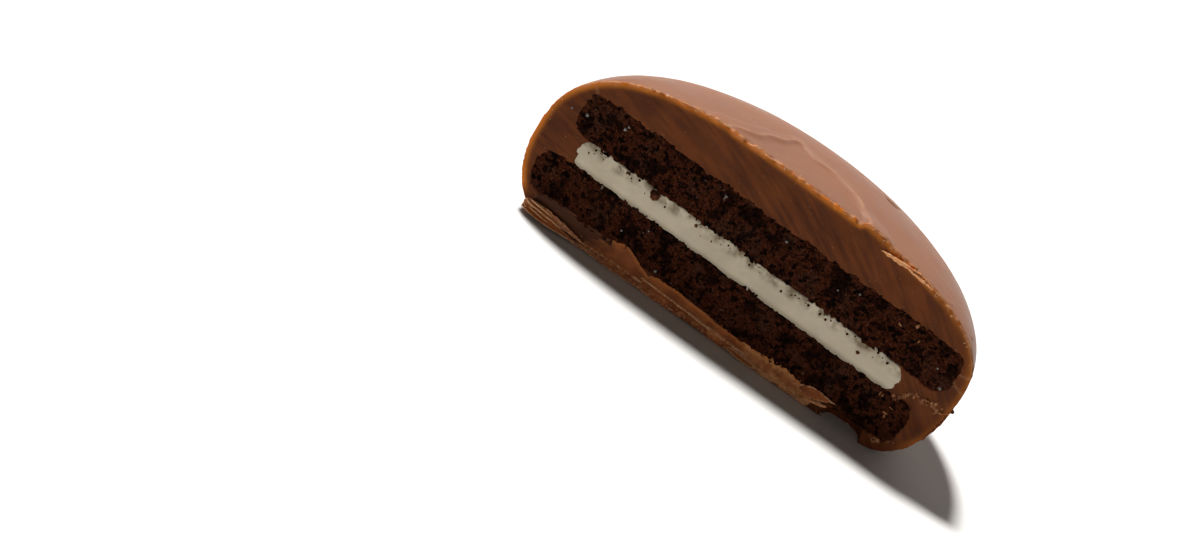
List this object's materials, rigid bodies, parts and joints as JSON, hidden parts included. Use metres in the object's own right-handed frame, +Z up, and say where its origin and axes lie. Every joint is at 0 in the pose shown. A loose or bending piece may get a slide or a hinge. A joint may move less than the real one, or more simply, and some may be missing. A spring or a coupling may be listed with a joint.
{
  "type": "chocolate-coated sandwich cookie half",
  "caption": "Half of a round sandwich cookie under thick milk chocolate, cut through cocoa wafers and pale cream, resting flat on its underside.",
  "frame": {"origin": "on the surface it rests on, at the centre of its footprint's bounding box", "axes": "+X along the cut face to the right as seen from the front, -Y out of the cut face, +Z up through the crown"},
  "size_m": [0.0498, 0.026, 0.0199],
  "materials": {
    "chocolate": "satin milk chocolate, streaked where the knife went through",
    "wafer": "dry, porous dark cocoa crumb",
    "cream": "smooth, softly matte ivory cream"
  },
  "bodies": {
    "root": {"chocolate_coating": "chocolate", "wafer_top": "wafer", "wafer_bottom": "wafer", "cream_filling": "cream"}
  },
  "joints": []
}
